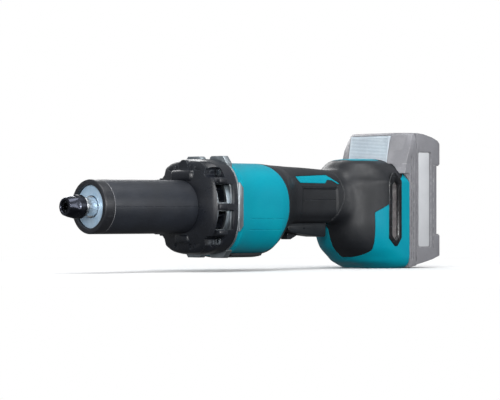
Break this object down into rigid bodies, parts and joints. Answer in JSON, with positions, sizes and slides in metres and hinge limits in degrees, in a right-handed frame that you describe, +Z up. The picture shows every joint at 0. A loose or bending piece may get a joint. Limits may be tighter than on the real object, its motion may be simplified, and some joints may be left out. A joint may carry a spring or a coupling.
{
  "type": "cordless die grinder",
  "caption": "Straight die grinder: long round barrel with collet and nut, fan cover, motor section, slim handle with paddle switch, and a slide-on battery at the rear.",
  "frame": {"origin": "centre of the collet's front face, on the spindle's axis", "axes": "+X along the spindle from the collet towards the battery, +Z up (the battery slides off upwards, the paddle is underneath), +Y to the tool's right seen from behind"},
  "size_m": [0.404, 0.0848, 0.1217],
  "materials": {
    "teal_plastic": "satin moulded plastic",
    "black_plastic": "fine textured plastic",
    "grip_rubber": "soft satin elastomer",
    "steel": "ground steel",
    "aluminium": "die cast",
    "blackened_steel": "black oxide",
    "polished_steel": "polished",
    "plated_steel": "zinc plated",
    "felt": "pressed felt",
    "barrel_plastic": "satin plastic sleeve",
    "coupling_rubber": "rubber",
    "fan_plastic": "moulded",
    "core_steel": "laminated steel",
    "copper": "enamelled copper wire",
    "dust_mesh": "perforated sheet",
    "white_plastic": "moulded",
    "paddle_plastic": "satin plastic",
    "lead_sheath": "silicone sheath",
    "contact_brass": "plated contact",
    "pack_plastic": "grained grey plastic",
    "cell_metal": "sleeved steel can",
    "circuit_board": "coated board",
    "button_plastic": "pale ribbed plastic",
    "lamp_lens": "frosted"
  },
  "bodies": {
    "housing": {"nose_ring": "black_plastic", "bearing_retainer": "plated_steel", "felt_seal": "felt", "barrel_housing": "aluminium", "barrel_sleeve": "barrel_plastic", "front_bearing_outer": "steel", "rear_bearing_outer": "steel", "fan_cover": "black_plastic", "bearing_plate": "aluminium", "cover_screws": "plated_steel", "motor_bearings_outer": "steel", "stator_core": "core_steel", "windings": "copper", "motor_housing": "teal_plastic", "housing_pad": "grip_rubber", "handle_left": "teal_plastic", "handle_right": "teal_plastic", "grip_left": "grip_rubber", "grip_right": "grip_rubber", "handle_screws": "plated_steel", "dust_cover_left": "black_plastic", "dust_cover_right": "black_plastic", "dust_mesh_left": "dust_mesh", "dust_mesh_right": "dust_mesh", "switch_body": "black_plastic", "paddle_pin": "steel", "paddle_spring": "steel", "controller": "aluminium", "motor_leads": "lead_sheath", "control_leads": "lead_sheath", "battery_rail": "black_plastic", "rail_terminals": "contact_brass"},
    "spindle": {"spindle": "polished_steel", "front_bearing_inner": "steel", "rear_bearing_inner": "steel", "drive_coupling": "coupling_rubber", "rotor_shaft": "steel", "fan": "fan_plastic", "motor_bearings_inner": "steel", "rotor_core": "core_steel"},
    "collet": {"collet": "steel"},
    "nut": {"collet_nut": "blackened_steel"},
    "paddle": {"paddle": "paddle_plastic", "lever_pin": "steel", "lever_spring": "steel"},
    "lever": {"lock_off_lever": "black_plastic"},
    "plunger": {"switch_plunger": "white_plastic"},
    "dial": {"speed_dial": "black_plastic"},
    "battery": {"battery_front": "pack_plastic", "battery_tub": "pack_plastic", "battery_cells": "cell_metal", "cell_holder": "black_plastic", "battery_board": "circuit_board", "battery_clips": "contact_brass", "battery_screws": "plated_steel", "latch_springs": "steel", "charge_lamps": "lamp_lens"},
    "release": {"release_button": "button_plastic"},
    "check": {"check_button": "black_plastic"}
  },
  "joints": [
    {"name": "spindle_spin", "type": "hinge", "parent": "housing", "child": "spindle", "pos_m": [0.05, 0, 0], "axis": [1, 0, 0], "continuous": true},
    {"name": "collet_slide", "type": "slide", "parent": "spindle", "child": "collet", "axis": [-1, 0, 0], "range_m": [0, 0.003]},
    {"name": "nut_turn", "type": "hinge", "parent": "collet", "child": "nut", "pos_m": [0.008, 0, 0], "axis": [-1, 0, 0], "range_deg": [0, 1080]},
    {"name": "paddle_squeeze", "type": "hinge", "parent": "housing", "child": "paddle", "pos_m": [0.245, 0, -0.0112], "axis": [0, -1, 0], "range_deg": [0, 6], "stiffness_Nm_per_rad": 0.5, "springref_deg": -5.73, "deforming": ["paddle_spring"]},
    {"name": "lock_off_push", "type": "hinge", "parent": "paddle", "child": "lever", "pos_m": [0.258, 0, -0.0186], "axis": [0, 1, 0], "range_deg": [0, 18], "stiffness_Nm_per_rad": 0.01, "springref_deg": -11.46, "deforming": ["lever_spring"]},
    {"name": "plunger_press", "type": "slide", "parent": "housing", "child": "plunger", "axis": [0, 0, 1], "range_m": [0, 0.003]},
    {"name": "dial_turn", "type": "hinge", "parent": "housing", "child": "dial", "pos_m": [0.333, 0, 0.0358], "axis": [0, 1, 0], "range_deg": [0, 288]},
    {"name": "battery_slide", "type": "slide", "parent": "housing", "child": "battery", "axis": [0, 0, 1], "range_m": [0, 0.092]},
    {"name": "release_press", "type": "slide", "parent": "battery", "child": "release", "axis": [1, 0, 0], "range_m": [0, 0.004], "stiffness_N_per_m": 400, "springref_m": -0.003, "deforming": ["latch_springs"]},
    {"name": "check_press", "type": "slide", "parent": "battery", "child": "check", "axis": [-1, 0, 0], "range_m": [0, 0.0008], "stiffness_N_per_m": 20, "springref_m": -0.001}
  ],
  "couplings": [
    {"joint": "nut_turn", "follows": "collet_slide", "rad_per_m": 6283},
    {"joint": "plunger_press", "follows": "paddle_squeeze", "m_per_rad": 0.027}
  ]
}
